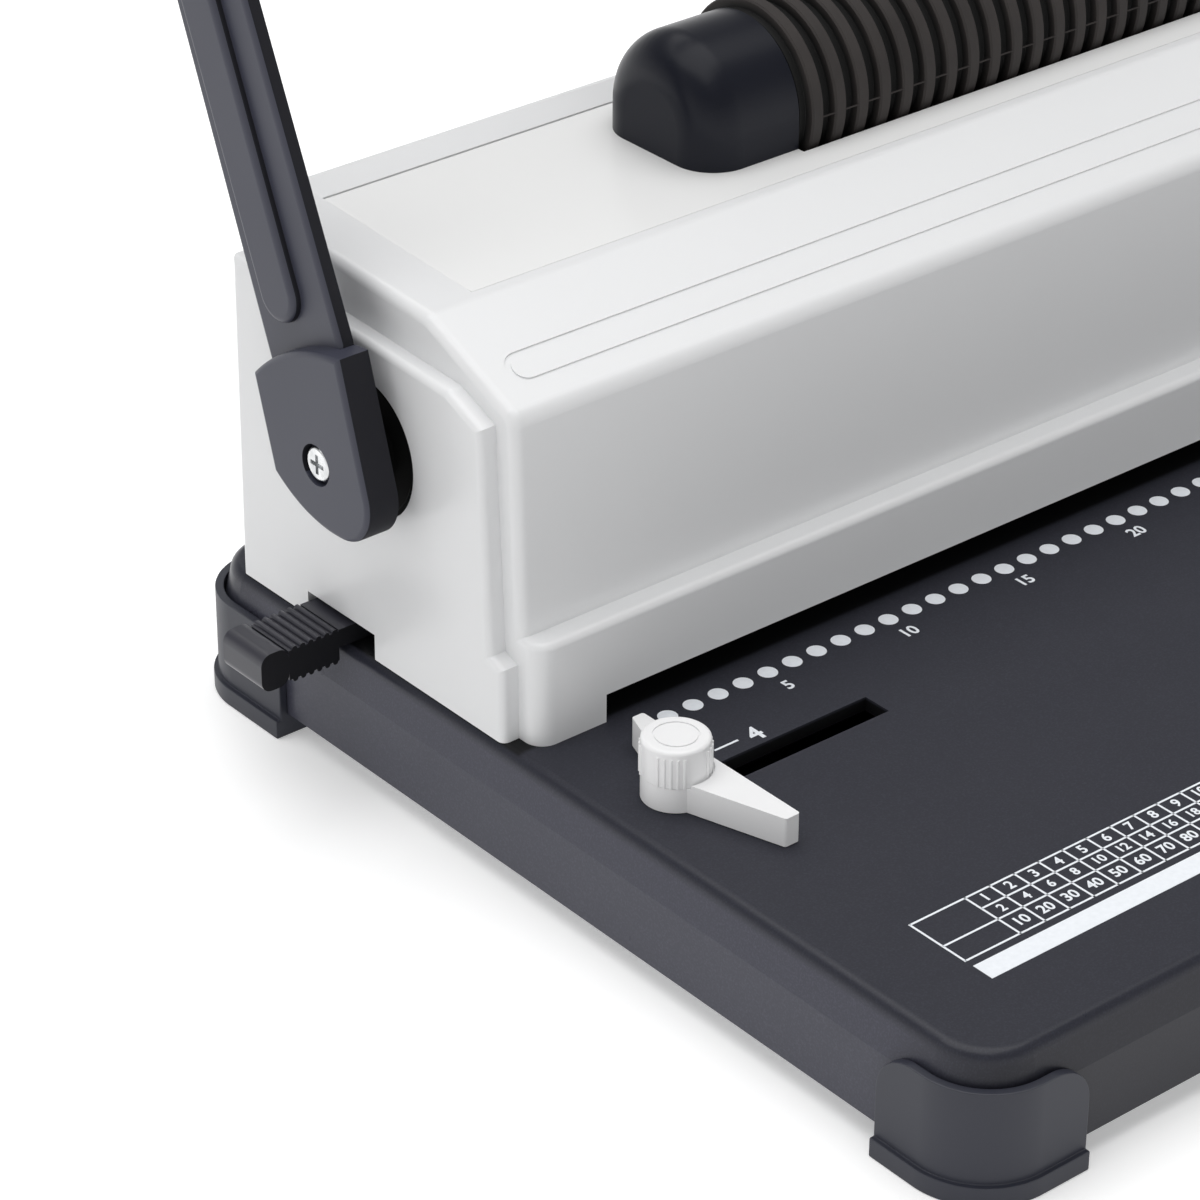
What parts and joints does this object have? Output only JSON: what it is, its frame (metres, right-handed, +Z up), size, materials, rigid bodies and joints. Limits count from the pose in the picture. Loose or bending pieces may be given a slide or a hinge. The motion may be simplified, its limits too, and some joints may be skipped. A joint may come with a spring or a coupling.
{
  "type": "punch and bind machine",
  "caption": "Desktop hole punch and binding machine: dark base with edge guide and margin lever, white punch housing, ribbed roller on top and a pull-down handle.",
  "frame": {"origin": "middle of the machine's box, on the surface that the feet stand on", "axes": "+X along the row of holes to the right, +Y to the rear, +Z up"},
  "size_m": [0.3844, 0.2618, 0.2629],
  "materials": {
    "base": "fine satin powder coat",
    "foot": "satin moulded",
    "housing": "smooth moulded off-white",
    "deck": "smooth moulded off-white",
    "sheet_steel": "zinc plated",
    "tool_steel": "ground",
    "bronze": "sintered",
    "zinc": "bright zinc",
    "handle": "satin moulded",
    "grip": "matte soft sleeve",
    "lever": "semi-gloss",
    "guide": "smooth moulded white",
    "tray": "satin moulded",
    "roller_rubber": "matte ribbed",
    "roller_core": "moulded",
    "cap": "satin moulded",
    "belt": "matte",
    "motor": "plated can",
    "switch": "smooth moulded"
  },
  "bodies": {
    "machine": {"base_shell": "base", "bottom_plate": "sheet_steel", "base_screws": "zinc", "foot_front_left": "foot", "foot_front_right": "foot", "foot_rear_left": "foot", "foot_rear_right": "foot", "top_cover": "housing", "deck_plate": "deck", "left_side_panel": "housing", "right_side_panel": "housing", "left_side_frame": "sheet_steel", "right_side_frame": "sheet_steel", "shaft_bushes": "bronze", "frame_screws": "zinc", "die_plate": "tool_steel", "punch_guide_plate": "tool_steel", "tie_bar": "tool_steel", "guide_posts": "tool_steel", "return_springs": "tool_steel", "stop_screws": "zinc", "left_roller_cap": "cap", "right_roller_cap": "cap", "roller_brackets": "sheet_steel", "roller_bushes": "bronze", "drive_belt": "belt", "motor": "motor", "motor_bracket": "sheet_steel", "switch_housing": "switch", "power_inlet": "switch"},
    "handle": {"left_handle_arm": "handle", "right_handle_arm": "handle", "left_hub_cover": "handle", "right_hub_cover": "handle", "hub_screws": "zinc", "crossbar": "tool_steel", "handle_grip": "grip", "crossbar_screws": "zinc", "drive_shaft": "tool_steel", "drive_pinions": "tool_steel"},
    "carriage": {"punch_bar": "tool_steel", "punch_pins": "tool_steel", "clamp_bar": "tool_steel", "punch_racks": "tool_steel"},
    "margin_stop": {"stop_bar": "sheet_steel", "margin_lever": "lever"},
    "guide": {"edge_guide": "guide", "guide_stud": "zinc", "guide_shoe": "sheet_steel"},
    "lock_knob": {"guide_knob": "guide"},
    "tray": {"chip_tray": "tray"},
    "roller": {"roller_sleeve": "roller_rubber", "roller_core": "roller_core", "roller_axle": "tool_steel", "roller_pulley": "roller_core"},
    "motor_rotor": {"motor_shaft": "tool_steel", "motor_pulley": "roller_core"},
    "rocker": {"switch_rocker": "switch"}
  },
  "joints": [
    {"name": "handle_pull", "type": "hinge", "parent": "machine", "child": "handle", "pos_m": [0, 0.04368, 0.075], "axis": [1, 0, 0], "range_deg": [0, 85], "stiffness_Nm_per_rad": 1.5},
    {"name": "punch_slide", "type": "slide", "parent": "machine", "child": "carriage", "axis": [0, 0, -1], "range_m": [0, 0.01262], "deforming": ["return_springs"]},
    {"name": "margin_slide", "type": "slide", "parent": "machine", "child": "margin_stop", "axis": [0, -1, 0], "range_m": [0, 0.007]},
    {"name": "guide_slide", "type": "slide", "parent": "machine", "child": "guide", "axis": [1, 0, 0], "range_m": [0, 0.046]},
    {"name": "knob_turn", "type": "hinge", "parent": "guide", "child": "lock_knob", "pos_m": [-0.1571, -0.02997, 0.029], "axis": [0, 0, 1], "range_deg": [0, 180]},
    {"name": "tray_slide", "type": "slide", "parent": "machine", "child": "tray", "axis": [1, 0, 0], "range_m": [0, 0.25]},
    {"name": "roller_spin", "type": "hinge", "parent": "machine", "child": "roller", "pos_m": [0, 0.05828, 0.1125], "axis": [1, 0, 0], "continuous": true},
    {"name": "motor_spin", "type": "hinge", "parent": "machine", "child": "motor_rotor", "pos_m": [0, 0.06868, 0.053], "axis": [1, 0, 0], "continuous": true},
    {"name": "switch_press", "type": "hinge", "parent": "machine", "child": "rocker", "pos_m": [0.096, 0.08318, 0.053], "axis": [1, 0, 0], "range_deg": [0, 16]}
  ],
  "couplings": [
    {"joint": "punch_slide", "follows": "handle_pull", "m_per_rad": 0.0085},
    {"joint": "motor_spin", "follows": "roller_spin", "ratio": 1.8}
  ]
}
